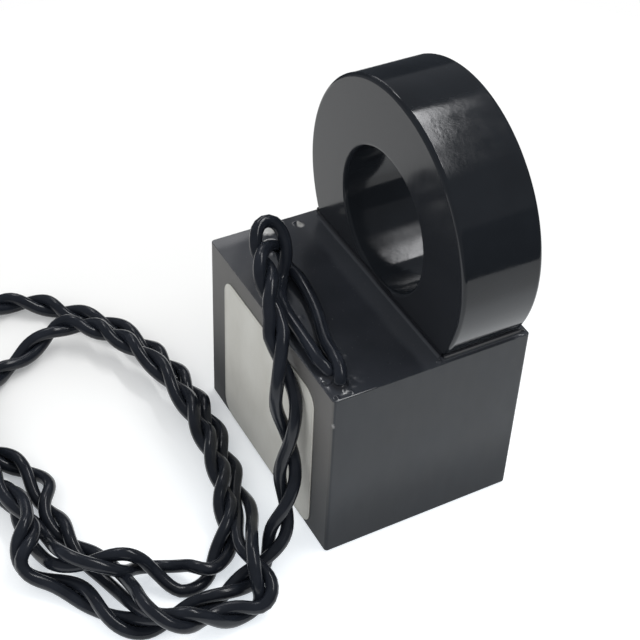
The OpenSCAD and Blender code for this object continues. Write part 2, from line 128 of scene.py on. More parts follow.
class Finish:
    """A material, or the world, and the ways to add nodes to it."""

    def __init__(self, name, owner=None):
        self.owner = owner or bpy.data.materials.new(name)
        self.owner.use_nodes = True
        self.tree = self.owner.node_tree
        self.tree.nodes.clear()

    def node(self, kind, settings=None, sockets=None, output=0):
        made = self.tree.nodes.new(kind)
        for key, value in (settings or {}).items():
            if key == "stops":
                elements = made.color_ramp.elements
                for i, (place, shade) in enumerate(value):
                    stop = elements[i] if i < len(elements) else elements.new(place)
                    stop.position = place
                    stop.color = (*shade, 1)
            else:
                setattr(made, key, value)
        for key, value in (sockets or {}).items():
            if isinstance(value, Field):
                self.tree.links.new(value.socket, made.inputs[key])
            else:
                made.inputs[key].default_value = value
        return Field(self, made.outputs[output]) if made.outputs else None

    def place(self, stretch=(1, 1, 1)):
        """Where a point lies on the object, in metres, stretched along each axis."""
        at = self.node("ShaderNodeTexCoord", output="Object")
        return self.node("ShaderNodeMapping", None, {"Vector": at, "Scale": stretch})

    def axis(self, place, name):
        return self.node("ShaderNodeSeparateXYZ", None, {0: place}, output=name)

    def noise(self, size, detail=3, rough=0.5, stretch=(1, 1, 1)):
        """Cloudy value from 0 to 1 with lumps of the given size in metres."""
        sockets = {"Vector": self.place(stretch), "Scale": 1 / size}
        sockets.update({"Detail": detail, "Roughness": rough})
        return self.node("ShaderNodeTexNoise", None, sockets)

    def ramp(self, value, *stops):
        """Colour read off a band of (place, colour) stops."""
        return self.node("ShaderNodeValToRGB", {"stops": stops}, {0: value})

    def step(self, value, low, high):
        """0 below low, 1 above high and smooth between."""
        settings = {"interpolation_type": "SMOOTHSTEP"}
        sockets = {"Value": value, "From Min": low, "From Max": high}
        return self.node("ShaderNodeMapRange", settings, sockets)

    def mix(self, share, first, second):
        """Colour that goes from first to second."""
        sockets = {MIX_SHARE: share, MIX_FIRST: first, MIX_SECOND: second}
        return self.node("ShaderNodeMix", {"data_type": "RGBA"}, sockets, output=MIX_RESULT)

    def bump(self, height, depth, under=None):
        """Normal of a surface whose height goes from 0 to depth, in metres."""
        sockets = {"Height": height, "Distance": depth, "Strength": 1}
        if under:
            sockets["Normal"] = under
        return self.node("ShaderNodeBump", None, sockets)

    def surface(self, **sockets):
        """Ends the finish in one Principled shader."""
        named = {key.replace("_", " "): value for key, value in sockets.items()}
        shader = self.node("ShaderNodeBsdfPrincipled", None, named)
        self.node("ShaderNodeOutputMaterial", None, {"Surface": shader})
        return self.owner


def rgb(red, green, blue):
    return (red, green, blue, 1)


print("a Finish adds every other node")

# %% [markdown]
# ## A smooth line through points
# The lead is drawn by points that lie a few millimetres apart. A curve object could run
# through them, but its length and its heading at each place are needed as numbers. So a
# spline that meets every point, and doesn't swing out where they lie close, is worked out
# here and sampled at even steps.

# %% Smooth lines
SPLINE_PIECES = 16


def unit(v):
    return v / np.linalg.norm(v, axis=-1, keepdims=True)


def smooth_line(points, step):
    """A curve through the points, sampled at even steps, with the length at each sample."""
    p = np.vstack([2 * points[0] - points[1], points, 2 * points[-1] - points[-2]])
    parts = []
    for a, b, c, d in zip(p[:-3], p[1:-2], p[2:-1], p[3:]):
        gaps = [np.linalg.norm(q - o) ** 0.5 for o, q in ((a, b), (b, c), (c, d))]
        t0, t1, t2, t3 = np.cumsum([0, *gaps])
        t = np.linspace(t1, t2, SPLINE_PIECES, endpoint=False)[:, None]
        ab = ((t1 - t) * a + (t - t0) * b) / (t1 - t0)
        bc = ((t2 - t) * b + (t - t1) * c) / (t2 - t1)
        cd = ((t3 - t) * c + (t - t2) * d) / (t3 - t2)
        abc = ((t2 - t) * ab + (t - t0) * bc) / (t2 - t0)
        bcd = ((t3 - t) * bc + (t - t1) * cd) / (t3 - t1)
        parts.append(((t2 - t) * abc + (t - t1) * bcd) / (t2 - t1))
    fine = np.vstack([*parts, points[-1:]])
    length = np.r_[0, np.cumsum(np.linalg.norm(np.diff(fine, axis=0), axis=1))]
    at = np.linspace(0, length[-1], round(length[-1] / step) + 1)
    return np.stack([np.interp(at, length, fine[:, k]) for k in range(3)], axis=1), at


print("lines run through their points in", SPLINE_PIECES, "pieces a stretch")

# %% [markdown]
# ## The lead's route
# The pair stands up out of the resin, turns back in a small loop, drops past the label and
# lies in a loose coil of two turns. These are the points of the CAD model's route, in
# millimetres. A curve object with a round bevel would give one plain tube. The real lead is
# two wires, so the route is only the line that they wind about.

# %% Route of the lead
LEAD_ROUTE = np.array([
    (-12.5, -14.5, 28.7), (-12.5, -14.5, 30.3), (-12.2, -12.5, 31.6), (-11.6, -8, 31),
    (-10.7, -1.5, 30.5), (-9.8, 3.6, 30.7), (-8.8, 6.8, 32.2), (-8.9, 9, 34.2),
    (-10.6, 8.9, 35.8), (-13, 6.6, 35.4), (-14.4, 3.4, 33.9), (-15.1, 0.2, 32.5),
    (-15.6, -2.8, 31), (-16.5, -6.2, 29), (-17, -9, 25), (-17.2, -10.6, 19.5),
    (-17.3, -11.2, 14.5), (-19, -14, 7.8), (-21.4, -16, 4.2), (-24.3, -17.8, 2),
    (-27.6, -18.8, 1.8), (-31.6, -19.7, 1.7), (-35.5, -19.9, 1.7), (-38.9, -19.9, 1.7),
    (-42, -19.6, 1.7), (-44.4, -17.7, 1.7), (-45.8, -15.1, 1.7), (-46.9, -12.2, 1.7),
    (-48.1, -9.4, 1.7), (-50.2, -7.1, 1.8), (-52.3, -5.5, 2.4), (-52.9, -3.9, 3.9),
    (-51.3, -2.7, 5.6), (-49.2, -0.1, 5.6), (-48.7, 4, 5.4), (-49.5, 9.6, 5.3),
    (-50.8, 14.9, 5.3), (-51.1, 19.3, 5.3), (-49.9, 24.4, 4.7), (-48.5, 28.4, 2.6),
    (-46.2, 31.8, 1.8), (-42.6, 34, 1.8), (-40, 35, 1.7), (-36, 37, 2.8), (-32, 37.4, 4.1),
    (-28.6, 35.2, 4.1), (-26, 31, 4.1), (-23.8, 25.5, 4.1), (-22.2, 17.5, 4.1), (-22.4, 9, 4.1),
    (-23.6, 0.5, 4.1), (-25.4, -5.5, 3.9), (-27, -10.7, 2.8), (-28.9, -14, 2), (-31.4, -16, 1.8),
    (-34.2, -15, 1.8), (-36.3, -12.6, 1.8), (-38.4, -11.5, 2.8), (-40.8, -11.5, 5),
    (-43.2, -10.6, 5.5), (-46, -9.4, 5.5), (-48.4, -7, 5), (-49.1, -1.6, 2.2), (-49.7, 3.8, 1.8),
    (-50.3, 9.9, 1.7), (-53.8, 15, 1.7), (-56.8, 20, 1.7), (-59, 26.5, 1.7), (-59.2, 33.5, 1.7),
    (-56.4, 39.8, 1.7), (-50.4, 44.8, 1.7), (-42, 47.5, 1.7), (-36.5, 48, 1.7), (-32, 45, 1.7),
    (-29.4, 41.4, 1.7), (-26.2, 38.2, 1.7), (-23.2, 33.6, 1.7), (-21, 28.2, 1.7),
    (-19.4, 20.5, 1.7), (-19.4, 11.5, 1.7), (-20.6, 3, 1.7), (-21.6, -3.6, 1.8), (-23, -9.4, 3.2),
    (-25.2, -14.8, 5.4), (-25.8, -19.5, 5.8), (-26, -22.9, 4.3), (-27.3, -24.1, 2.4),
    (-30.1, -23.4, 2), (-33.8, -23.3, 3), (-37.4, -23.6, 5), (-39.9, -22.5, 5.5),
    (-41.5, -19.8, 5.4), (-42, -15.9, 3.8), (-42.4, -11.6, 2.1), (-43.3, -8.1, 1.7),
    (-44.5, -5, 1.7), (-45.5, -1.6, 1.7), (-46, 2.3, 1.7), (-46.2, 5.4, 1.7), (-45.6, 8.2, 1.7),
    (-45.6, 11.3, 1.7), (-47, 14.4, 1.7), (-49.1, 17.4, 1.7), (-51.4, 20.6, 1.7),
    (-53.2, 23.4, 1.7), (-54.2, 26.8, 1.7),
])
ROUTE_STEP = 1.0
path, path_length = smooth_line(LEAD_ROUTE, ROUTE_STEP)
print("lead", round(path_length[-1], 1), "mm")

# %% [markdown]
# ## Two wires wound about the route
# Each row of the twist table is a length along the lead, the half turns wound up to there, the
# distance of the wires from the route and how far both lean to one side. Where the half turns
# are whole, one wire lies over the other as the camera sees them. Between rows the numbers
# change evenly, so a wide row opens an eye between the wires. A screw modifier would wind
# evenly all along, which this lead doesn't. Up to its first crossing each wire has points of
# its own, in millimetres.

# %% Twist of the pair
TWIST = np.array([
    (45.3, 1.5, 0.87, 0.1), (49.4, 2, 0.87, 0), (55.5, 2.5, 1.3, 0), (62, 3, 0.87, 0),
    (66.7, 3.5, 1.05, 0), (71.2, 4, 0.87, 0), (74.8, 4.5, 1.1, 0), (78.5, 5, 0.87, 0),
    (86, 6, 0.87, 0), (94, 7, 0.87, 0), (100, 7.7, 0.9, 0), (106, 8.3, 0.87, 0),
    (112.5, 8.95, 0.87, 0.2), (119, 9.15, 0.87, 0.5), (123.5, 9.8, 0.87, 0.5),
    (127.5, 10.2, 0.8, 1.1), (134, 11, 0.87, 1.9), (142, 12, 0.87, 0.8), (150, 13, 0.87, 0),
    (158, 14.1, 0.87, 0), (165, 15.1, 0.87, -0.3), (172.5, 16, 0.87, -0.5), (178, 17, 0.87, 0.3),
    (183, 18, 0.87, 0.6), (189, 19, 0.87, 0.9), (198, 20, 0.87, 0.7), (206, 21, 0.87, 0.9),
    (213, 22, 0.87, 1), (219.5, 23, 0.87, 1.4), (226, 24, 0.87, 0.9), (231, 24.8, 1, 0),
    (236, 25.5, 1.9, 0), (241.5, 26, 0.9, 0), (245.5, 26.5, 1.2, 0), (250.5, 27, 0.87, 0),
    (256, 27.5, 1, 0), (266, 27.7, 1, 0), (273, 28.6, 0.87, 0), (281, 29.7, 0.87, 0),
    (289, 30.8, 0.87, 0), (297, 31.9, 0.87, 0), (305, 33, 0.87, 0), (312, 34, 0.87, 0),
    (318.5, 35, 0.87, 0), (324, 36, 0.87, 0.2), (330.5, 37, 0.87, 0.4), (337, 38, 0.87, 0.6),
    (344, 39, 0.87, 0.7), (352, 40, 0.87, 0.4), (358, 41, 0.87, 0.4), (364.5, 42, 0.87, 0.4),
    (371, 43, 0.87, 0.6), (379, 44, 0.87, 0.7), (386, 45, 0.87, 0.5), (391, 45.5, 0.95, 0.3),
    (399, 45.6, 1.1, -0.2), (404, 46.1, 1, -0.3), (410, 47, 0.87, -0.2), (417, 48, 0.87, 0),
    (424, 49, 0.87, 0), (430, 49.4, 1, 0), (441, 49.6, 0.95, 0), (448, 50.5, 0.87, 0),
    (456, 51.5, 1.25, 0), (463.5, 52.5, 0.87, 0), (471, 53.5, 0.9, 0),
])
print("twist", len(TWIST), "rows,", TWIST[-1, 1], "half turns")

# %% First stretch of each wire
FIRST_WIRE = np.array([
    (-12.5, -15.45, 28.5), (-12.45, -15.4, 29.35), (-11.7, -13.9, 29.95), (-11.3, -12, 30.05),
    (-10.8, -8.8, 29.7), (-9.1, -3.1, 29.6), (-8.2, 1.5, 29.6), (-7.99, 4.81, 29.79),
    (-8.27, 6.28, 29.87), (-8.45, 7.42, 30.13), (-8.6, 7.98, 31.05), (-8.76, 8.43, 31.84),
    (-9.6, 8.13, 33.03), (-11.02, 7.04, 34.49), (-12.53, 5.58, 35.53), (-13.74, 4.19, 35.9),
    (-14.47, 3.19, 35.7), (-14.88, 2.52, 35.12), (-15.1, 1.93, 34.41), (-15.17, 1.34, 33.65),
    (-15.05, 0.65, 32.89), (-14.86, -0.34, 32.33), (-14.69, -1.4, 31.84), (-14.69, -2.41, 31.45),
    (-14.87, -3.28, 31.11),
])
SECOND_WIRE = np.array([
    (-12.5, -13.55, 28.5), (-12.8, -13.2, 29.3), (-13.2, -11.6, 29.6), (-13.1, -9, 29.7),
    (-12.8, -3.6, 29.6), (-12.7, -1.4, 29.66), (-12.33, 1.27, 30.05), (-11.08, 3.55, 29.83),
    (-10.13, 5.1, 30.07), (-9.6, 5.64, 31.06), (-9.15, 6.06, 32.02), (-8.82, 6.62, 33.06),
    (-8.61, 7.43, 34.12), (-8.65, 8.33, 35.13), (-8.99, 9.11, 35.86), (-9.73, 9.61, 36.37),
    (-10.8, 9.6, 36.52), (-11.8, 9.09, 36.36), (-12.54, 8.26, 35.88), (-13, 7.43, 35.25),
    (-13.14, 6.82, 34.43), (-13.09, 5.96, 33.92), (-12.92, 4.75, 33.74), (-13.1, 3.01, 34.04),
    (-13.63, 1.31, 34.34), (-14.33, 0.02, 34.34), (-15.03, -1.01, 33.99), (-15.67, -1.9, 33.37),
    (-16.03, -2.58, 32.49), (-16.22, -3.23, 31.6),
])
print("own points", len(FIRST_WIRE), "and", len(SECOND_WIRE))

# %% Wind the wires
WIRE_D = 1.7
SPREAD = 1.08
SETTLE_ROUNDS = 2


def settle(line):
    """Takes sharp turns out of a wire and keeps it on the table."""
    for _ in range(SETTLE_ROUNDS):
        line[1:-1] = (line[:-2] + 2 * line[1:-1] + line[2:]) / 4
    line[:, 2] = np.maximum(line[:, 2], WIRE_D / 2)
    return line


wound = (path_length >= TWIST[0, 0]) & (path_length <= TWIST[-1, 0])
middle, at = path[wound], path_length[wound]
ahead = unit(np.gradient(path, axis=0))[wound]
aside = unit(np.cross(ahead, np.array(SIGHT)))
toward = np.cross(ahead, aside)
half_turns, reach, lean = (np.interp(at, TWIST[:, 0], TWIST[:, k])[:, None] for k in (1, 2, 3))
angle = math.pi * (half_turns + 0.5)
offset = SPREAD * reach * (np.cos(angle) * aside + np.sin(angle) * toward)

end_across = WIRE_D / 2 * unit(np.cross((0, 0, 1), path[-1] - path[-2]))
lead_end = path[-1] * (1, 1, 0) + (0, 0, WIRE_D / 2)
wires = []
for start, side in ((FIRST_WIRE, 1), (SECOND_WIRE, -1)):
    finish_at = np.array([lead_end + side * end_across])
    wound_line = settle(middle + lean * aside + side * offset)
    wires.append(np.vstack([start, wound_line, finish_at]))
    stray = np.linalg.norm(wires[-1][:, None] - path[None], axis=2).min(axis=1).max()
    print("wire strays", round(stray, 2), "mm from the route")

# %% [markdown]
# ## Meshes from loops
# Most of the pieces are skins stretched over a row of loops: a tube is a loop of points
# carried along a line, and a box is a rounded rectangle carried round a profile. A bevelled
# curve makes tubes alone. One function joins any such loops with four-sided faces and closes
# the two ends.

# %% Skins over loops
def add_piece(name, points, faces, finish):
    """A smooth mesh that belongs to the part."""
    mesh = bpy.data.meshes.new(name)
    mesh.from_pydata([tuple(p) for p in points], [], faces)
    mesh.validate()
    mesh.shade_smooth()
    mesh.materials.append(finish)
    piece = bpy.data.objects.new(name, mesh)
    bpy.context.scene.collection.objects.link(piece)
    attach(piece, "root")
    print(name, len(mesh.vertices), "points", len(mesh.polygons), "faces")
    return piece


def skin(loops, first_index=0):
    """Points and faces of a closed skin over loops with equally many points."""
    count = len(loops[0])
    points = [p for loop in loops for p in loop]
    faces = []
    for i in range(len(loops) - 1):
        here = first_index + i * count
        for k in range(count):
            k2 = (k + 1) % count
            faces.append((here + k, here + k2, here + count + k2, here + count + k))
    last = (len(loops) - 1) * count
    for ring, order in ((0, range(count - 1, -1, -1)), (last, range(count))):
        hub = first_index + len(points)
        points.append(np.mean(points[ring:ring + count], axis=0))
        order = [first_index + ring + k for k in order]
        faces += [(order[k], order[(k + 1) % count], hub) for k in range(count)]
    return points, faces


print("skins are closed at both ends")

# %% Tubes along lines
END_SHARE = 0.8
ANY_WAY = (0.3, 0.5, 0.8)


def tube_loops(line, radius, sides):
    """Loops round a line, carried along it without twist, with rounded ends."""
    heading = unit(np.gradient(line, axis=0))
    across = unit(np.cross(heading[0], ANY_WAY))
    loops = []
    angles = np.linspace(0, 2 * math.pi, sides, endpoint=False)[:, None]
    sizes = np.full(len(line), radius)
    sizes[[0, -1]] = END_SHARE * radius
    for at, ahead, size in zip(line, heading, sizes):
        across = unit(across - np.dot(across, ahead) * ahead)
        up = np.cross(ahead, across)
        loops.append(at + size * (np.cos(angles) * across + np.sin(angles) * up))
    return loops


def tubes(lines, radius, sides):
    """Points and faces of one closed tube along each line."""
    points, faces = [], []
    for line in lines:
        more, joined = skin(tube_loops(line, radius, sides), len(points))
        points += more
        faces += joined
    return points, faces


print("tubes end at", END_SHARE, "of their radius")

# %% [markdown]
# ## Insulation of the wires
# The insulation is smooth black plastic with a faint blue cast. One shiny black would do from
# afar. Handling leaves the real one a little uneven, so the gloss drifts along the wire and a
# very fine grain breaks the highlights. The wires are drawn slightly thick, so that they
# press on each other where they cross.

# %% Wires
PRESSED_D = 1.8
WIRE_STEP, WIRE_SIDES = 0.8, 14


def insulation():
    finish = Finish("black insulation")
    scuff = finish.noise(2.5 * MM, 4)
    grain = finish.noise(0.12 * MM, 2)
    shades = (0.3, (0.009, 0.011, 0.0155)), (0.75, (0.015, 0.018, 0.025))
    return finish.surface(
        Base_Color=finish.ramp(scuff, *shades),
        Roughness=0.12 + 0.14 * scuff,
        Specular_IOR_Level=0.28,
        Normal=finish.bump(grain, 0.004 * MM),
    )


wire_finish = insulation()
wire_lines = [smooth_line(line, WIRE_STEP)[0] * MM for line in wires]
points, faces = tubes(wire_lines, PRESSED_D / 2 * MM, WIRE_SIDES)
lead = add_piece("twisted_lead", points, faces, wire_finish)
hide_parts("lead_pair")

# %% [markdown]
# ## Stripped ends
# At the far end the insulation is cut back, and the tinned strands of each wire show, still
# wound together. A cylinder with a striped bump would look right from afar. Seven fine tubes
# in a rope cost little and stay true from close by.

# %% Stripped ends
STRANDS, STRAND_R, STRAND_SIDES = 6, 0.125, 8
BARE, TUCKED, ROUNDING = 6.0, 0.6, 0.05
STRAND_TURN, STRAND_POINTS = 7.5, 26


def tinned():
    finish = Finish("tinned copper")
    cloud = finish.noise(0.25 * MM, 3)
    return finish.surface(
        Base_Color=finish.ramp(cloud, (0.3, (0.5, 0.51, 0.53)), (0.7, (0.68, 0.68, 0.68))),
        Metallic=1.0,
        Roughness=0.25 + 0.2 * cloud,
        Normal=finish.bump(cloud, 0.004 * MM),
    )


def rope(start, ahead):
    """Centre lines of one core strand and the strands wound round it."""
    run = np.linspace(-TUCKED, BARE - ROUNDING, STRAND_POINTS)[:, None]
    out = unit(np.cross(ahead, (0, 0, 1)))
    up = np.cross(out, ahead)
    core = start + run * ahead
    lines = [core]
    for k in range(STRANDS):
        turn = 2 * math.pi * (k / STRANDS + run / STRAND_TURN)
        lines.append(core + 2 * STRAND_R * (np.cos(turn) * out + np.sin(turn) * up))
    return lines


end_ahead = unit((path[-1] - path[-2]) * (1, 1, 0))
starts = [lead_end + side * end_across for side in (1, -1)]
strand_lines = [line * MM for start in starts for line in rope(start, end_ahead)]
points, faces = tubes(strand_lines, STRAND_R * MM, STRAND_SIDES)
bare_ends = add_piece("bare_ends", points, faces, tinned())
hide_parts("stripped_ends")

# %% [markdown]
# ## Length of the lead

print("lead declared", round(path_length[-1]), "mm long")

# %% [markdown]
# ## The moulded box
# The box is an open tray of black plastic with thin walls. A cube with a bevel would do for
# the outside, but the walls of a moulding sink a little between their corners, and the tray
# has an inside. So a rounded rectangle is carried up the outside, over the rim and down the
# inside. The large faces then set the normals, which keeps flat walls flat.

# %% Box
WALL, FLOOR = 1.1, 1.5
CORNER_R, INSIDE_R, FOOT_R, RIM_R = 0.5, 0.12, 0.35, 0.05
SINK = 0.035
ARC_POINTS, SIDE_POINTS, WALL_ROWS = 7, 20, 16
box_low, box_high = (np.array(corner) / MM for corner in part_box("box_shell"))
box_half = (box_high - box_low)[:2] / 2


def frame_loop(half, corner, z, sink=0.0):
    """A rounded rectangle at one height, its sides drawn in at their middles."""
    corners = np.array([(1, 1), (-1, 1), (-1, -1), (1, -1)])
    middles = (np.array(half) - corner) * corners
    points = []
    for k, here in enumerate(middles):
        turns = math.pi / 2 * (k + np.linspace(0, 1, ARC_POINTS))
        arc = here + corner * np.stack([np.cos(turns), np.sin(turns)], axis=1)
        outward = np.array([math.cos(turns[-1]), math.sin(turns[-1])])
        share = np.linspace(0, 1, SIDE_POINTS)[1:-1, None]
        side = here + share * (middles[(k + 1) % 4] - here) + corner * outward
        points += [*arc, *(side - 4 * sink * share * (1 - share) * outward)]
    return np.array([(x, y, z) for x, y in points])


def box_profile():
    """Rows of inset, height and sink, from the underside over the rim to the inner floor."""
    top = box_high[2]
    turns = np.radians([0, 18, 36, 54, 72, 90])
    rows = [(FOOT_R * (1 - math.sin(t)), FOOT_R * (1 - math.cos(t)), 0) for t in turns]
    heights = np.linspace(FOOT_R, top - RIM_R, WALL_ROWS)[1:-1]
    rows += [(0, z, SINK * math.sin(math.pi * z / top)) for z in heights]
    rim = [(RIM_R * (1 - math.cos(t)), top - RIM_R * (1 - math.sin(t)), 0) for t in turns]
    rows += rim + [(WALL - inset, z, 0) for inset, z, _ in rim[::-1]]
    return rows + [(WALL, FLOOR + 1, 0), (WALL, FLOOR, 0)]


def even_normals(piece):
    piece.modifiers.new("even normals", "WEIGHTED_NORMAL")


box_loops = [
    frame_loop(box_half - inset, max(CORNER_R - inset, INSIDE_R), z, sink)
    for inset, z, sink in box_profile()
]
print("box", (box_high - box_low).round(2), "mm")

# %% [markdown]
# ## Moulded plastic
# Seen close, moulded plastic is never one black. It has slow clouds where the melt flowed, a
# fine orange peel, and faint rubs that only show in the gloss. The end wall carries a painted
# grey sheen, a painted reflection of the bright room that fades to painted shade towards the
# foot. The foot is duller than the rest, and on one corner a small chip shows the paler break.
# A painted picture would blur from close by, so all of it is added from noise and heights in
# the object's own millimetres.

# %% Finish of the box
CHIP_AT, CHIP_SIZE = (-14.75, -18.0, 24.4), 0.42
# Heights where the end wall's painted sheen fades in, and where the foot's dullness fades out
PAINTED_SHEEN_Z, DULL_Z = (1 * MM, 22 * MM), (2 * MM, 14 * MM)


def moulded_plastic(name, base, rough, peel, streak=(1, 1, 1)):
    """A finish with its tint, roughness and normal; peel is the depth of the orange peel."""
    finish = Finish(name)
    cloud = finish.noise(9 * MM, 3)
    rub = finish.noise(1.6 * MM, 5, 0.65, streak)
    grain = finish.noise(0.35 * MM, 2)
    swell = finish.noise(2.2 * MM, 1)
    tint = finish.ramp(cloud, (0.3, base), (0.75, tuple(1.5 * c for c in base)))
    normal = finish.bump(grain, 0.1 * peel, finish.bump(swell, peel))
    return finish, tint, rough + 0.12 * (rub - 0.4) + 0.05 * cloud, normal


def chip_and_glint_spot(finish, at, size, upright):
    """1 within a small ragged spot, 0 outside it; upright below 1 draws it out in height."""
    x, y, z = (finish.axis(finish.place(), name) - p * MM for name, p in zip("XYZ", at))
    away = (x * x + y * y + z * z * upright) ** 0.5
    ragged = away + 0.5 * MM * (finish.noise(0.4 * MM) - 0.5)
    return 1 - finish.step(ragged, 0.45 * size, size)


def box_plastic():
    finish, tint, rough, normal = moulded_plastic(
        "moulded box", (0.007, 0.0098, 0.014), 0.52, 0.004 * MM, (1, 1, 0.35)
    )
    chip = chip_and_glint_spot(finish, CHIP_AT, CHIP_SIZE * MM, 0.3)
    height = finish.axis(finish.place(), "Z")
    facing = finish.axis(finish.node("ShaderNodeNewGeometry", output="Normal"), "X")
    # painted sheen: the end wall is paler higher up, a painted reflection of the bright room,
    # fading to painted shade at the foot
    painted_sheen = (1 - finish.step(facing, -0.9, -0.5)) * finish.step(height, *PAINTED_SHEEN_Z)
    tint = finish.mix(painted_sheen, tint, rgb(0.105, 0.103, 0.1))
    dull = 1 - finish.step(height, *DULL_Z)
    return finish.surface(
        Base_Color=finish.mix(chip, tint, rgb(0.3, 0.3, 0.3)),
        Roughness=rough + 0.2 * dull + 0.4 * chip,
        Sheen_Weight=0.3,
        Sheen_Roughness=0.35,
        Normal=normal,
    )


points, faces = skin(box_loops)
tray = add_piece("box_tray", np.array(points) * MM, faces, box_plastic())
even_normals(tray)
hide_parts("box_shell")

# %% [markdown]
# ## Cast resin
# The tray is filled with black resin, which set to a mirror and wets all that it touches: it
# climbs the foot of the ring and the wires, hides the rim, leaves a bead beside the ring and
# a few bubbles at the corner where it was poured. A flat face can't show that. The surface is
# a field of heights on a grid whose lines are close where the shape is small. The corners of
# the grid are drawn in to the round corners of the box.

# %% Grid of the resin
RING_X, RING_Y = (1.75, 13.55), 16.7
BORDER, MARGIN, TOO_NEAR = 0.02, 0.3, 0.3
EDGE = np.array([0, 0.01, 0.03, 0.07, 0.13, 0.2])
resin_half = box_half - BORDER


def steps(*marks):
    """Grid lines along stretches, each given by its start, pitch and end."""
    rows = [np.arange(a, b - TOO_NEAR * pitch, pitch) for a, pitch, b in marks]
    return np.concatenate([*rows, [marks[-1][2]]])


def resin_grid():
    hx, hy = resin_half
    front, back = RING_X
    x = steps(
        (-hx + MARGIN, 0.12, -8), (-8, 0.25, -1), (-1, 0.1, front), (front, 0.3, back),
        (back, 0.1, hx - MARGIN),
    )
    y = steps(
        (-hy + MARGIN, 0.08, -RING_Y), (-RING_Y, 0.13, -12), (-12, 0.25, 14.6),
        (14.6, 0.15, RING_Y), (RING_Y, 0.08, hy - MARGIN),
    )
    x = np.concatenate([-hx + EDGE, x, (hx - EDGE)[::-1]])
    y = np.concatenate([-hy + EDGE, y, (hy - EDGE)[::-1]])
    return np.meshgrid(x, y, indexing="ij")


def round_corners(x, y):
    """Draws the corners of the grid in to the round corners of the box."""
    u, v = (np.maximum(np.abs(p) - (h - CORNER_R), 0) for p, h in zip((x, y), box_half))
    pull = 1 - np.maximum(u, v) / np.maximum(np.hypot(u, v), 1e-9)
    return x - np.sign(x) * u * pull, y - np.sign(y) * v * pull


grid_x, grid_y = resin_grid()
print("resin grid", grid_x.shape)

# %% Heights of the resin
LEVEL = 28.72
# Height of each wave, then the pitch along x and y and the shift of its two factors
WAVES = (
    (0.012, (0.55, 0.2, 0.6), (-0.3, 0.37, 0)),
    (0.006, (1.3, 0, 1.0), (0, 1.1, 0.4)),
)
RING_R, RING_Z = 19.75, 39.2
# Height and reach of the climb at the ring's front, at its back and at the wires
FRONT_CLIMB, BACK_CLIMB, WIRE_CLIMB = (0.05, 0.25), (0.5, 0.3), (0.55, 0.35)
CLIMB_Y = (RING_Y + 0.5, RING_Y - 0.3)
BEAD_Y, BEAD_TOP, BEAD_OVERLAP = (17.5, 17.25), 29.7, 0.05
POURED_X, POURED_Y = -8.5, -17
POURED_CURL, CURL = 0.2, 0.03
# Place, radius and rise of each bubble, bead or dimple
BLISTERS = np.array([
    (-13.9, -17.3, 0.42, 0.2), (-11.75, -17.2, 0.4, 0.14), (-12.9, -16.6, 0.55, 0.06),
    (-13.7, -14.4, 0.75, -0.2), (-10.9, -16.1, 0.7, 0.055), (-10.6, -14.9, 0.6, -0.045),
    (-9.6, -15.6, 0.8, 0.05), (-8.95, -11.2, 0.7, 0.05), (-5.1, -14.8, 0.28, 0.09),
    (1.05, -17.3, 0.35, 0.3), (13.9, -17.15, 0.6, 0.45), (-6.7, 16.0, 0.9, 0.13),
    (-1.95, 16.2, 0.6, 0.4), (-8.3, 11.4, 0.35, 0.08), (-10.9, -2.0, 0.4, 0.04),
    (-3.4, -8.1, 0.22, 0.05), (-10.2, 3.9, 0.2, 0.05), (-2.2, 6.4, 0.18, 0.04),
    (4.6, 17.3, 0.3, 0.12), (14.1, 9.0, 0.25, 0.1), (14.1, -5.0, 0.3, 0.08),
])


def ease(value, low, high):
    """0 at low, 1 at high and smooth between."""
    t = np.clip((value - low) / (high - low), 0, 1)
    return t * t * (3 - 2 * t)


def meniscus(x, y):
    """How far the resin climbs the ring's two faces and the wires."""
    front, back = RING_X
    near_ring = ease(np.abs(y), *CLIMB_Y)
    z = FRONT_CLIMB[0] * near_ring * np.exp(-np.abs(front - x) / FRONT_CLIMB[1]) * (x <= front)
    z += BACK_CLIMB[0] * near_ring * np.exp(-np.abs(x - back) / BACK_CLIMB[1]) * (x >= back)
    for wire in (FIRST_WIRE, SECOND_WIRE):
        away = np.hypot(x - wire[0, 0], y - wire[0, 1])
        z += WIRE_CLIMB[0] * np.exp(-np.maximum(away - WIRE_D / 2, 0) / WIRE_CLIMB[1])
    return z


def with_bead(x, y, z):
    """Heights with the bead that fills the gap beside the ring's foot."""
    beside = (x >= RING_X[0]) & (x <= RING_X[1])
    under = RING_Z - np.sqrt(np.maximum(RING_R ** 2 - y ** 2, 0)) + BEAD_OVERLAP
    bead = ease(np.abs(y), *BEAD_Y) * (np.minimum(under, BEAD_TOP) - LEVEL)
    return np.where(beside, np.maximum(z, LEVEL + bead), z)


def edge_drop(x, y):
    """How far the surface curls down at its border, most where it was poured."""
    hx, hy = resin_half
    border = np.minimum(hx - np.abs(x), hy - np.abs(y))
    curl = np.where((y < POURED_Y) & (x < POURED_X), POURED_CURL, CURL)
    drop = np.clip(1 - border / curl, 0, 1)
    return curl * (1 - np.sqrt(1 - drop ** 2))


def resin_height(x, y):
    z = LEVEL + meniscus(x, y)
    for wave, *factors in WAVES:
        for along_x, along_y, shift in factors:
            wave = wave * np.sin(along_x * x + along_y * y + shift)
        z += wave
    for bx, by, size, rise in BLISTERS:
        z += rise * np.maximum(1 - ((x - bx) ** 2 + (y - by) ** 2) / size ** 2, 0) ** 1.5
    return with_bead(x, y, z) - edge_drop(x, y)


grid_z = resin_height(grid_x, grid_y)
grid_x, grid_y = round_corners(grid_x, grid_y)
print("resin heights", grid_z.min().round(2), "to", grid_z.max().round(2), "mm")

# %% [markdown]
# ## From heights to a closed skin
# The cells inside the ring's foot are left out. A solidify modifier could give the sheet its
# thickness, but it would copy every bubble to the underside. So the underside is flat, and a
# wall stands wherever a cell has no neighbour.

# %% Resin skin
UNDERSIDE = 28.56
